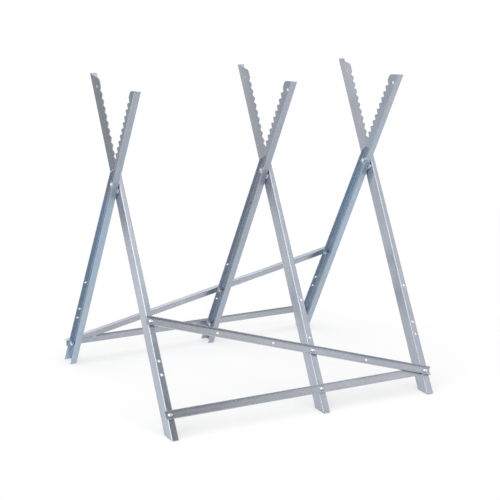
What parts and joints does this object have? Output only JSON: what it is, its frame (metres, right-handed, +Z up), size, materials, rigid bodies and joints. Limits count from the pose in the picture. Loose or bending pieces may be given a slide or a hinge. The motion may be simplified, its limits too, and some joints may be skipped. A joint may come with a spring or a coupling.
{
  "type": "log saw stand",
  "caption": "Folding sheet steel log saw stand: crossed leg frames with toothed V arms that hold a log, tied by bolted lower and diagonal braces.",
  "frame": {"origin": "on the floor below the middle of the stand", "axes": "+X along the log from the left frame to the right frame, -Y to the front, +Z up"},
  "size_m": [0.7684, 0.6558, 0.8],
  "materials": {
    "leg_steel": "galvanised",
    "brace_steel": "galvanised",
    "fastener_steel": "zinc plated"
  },
  "bodies": {
    "front_half": {"front_leg_left": "leg_steel", "front_leg_middle": "leg_steel", "front_leg_right": "leg_steel", "front_lower_brace": "brace_steel", "front_diagonal_brace": "brace_steel", "pivot_bolts": "fastener_steel", "pivot_head_washers": "fastener_steel", "pivot_spacers": "fastener_steel", "pivot_nut_washers": "fastener_steel", "pivot_nuts": "fastener_steel", "front_brace_bolts": "fastener_steel", "front_brace_washers": "fastener_steel", "front_brace_nuts": "fastener_steel", "front_brace_spacers": "fastener_steel"},
    "rear_half": {"rear_leg_left": "leg_steel", "rear_leg_middle": "leg_steel", "rear_leg_right": "leg_steel", "rear_lower_brace": "brace_steel", "rear_diagonal_brace": "brace_steel", "stop_rivets": "fastener_steel", "rear_brace_bolts": "fastener_steel", "rear_brace_washers": "fastener_steel", "rear_brace_nuts": "fastener_steel", "rear_brace_spacers": "fastener_steel"}
  },
  "joints": [
    {"name": "fold", "type": "hinge", "parent": "front_half", "child": "rear_half", "pos_m": [0, 0, 0.55021], "axis": [-1, 0, 0], "range_deg": [0, 55]}
  ]
}
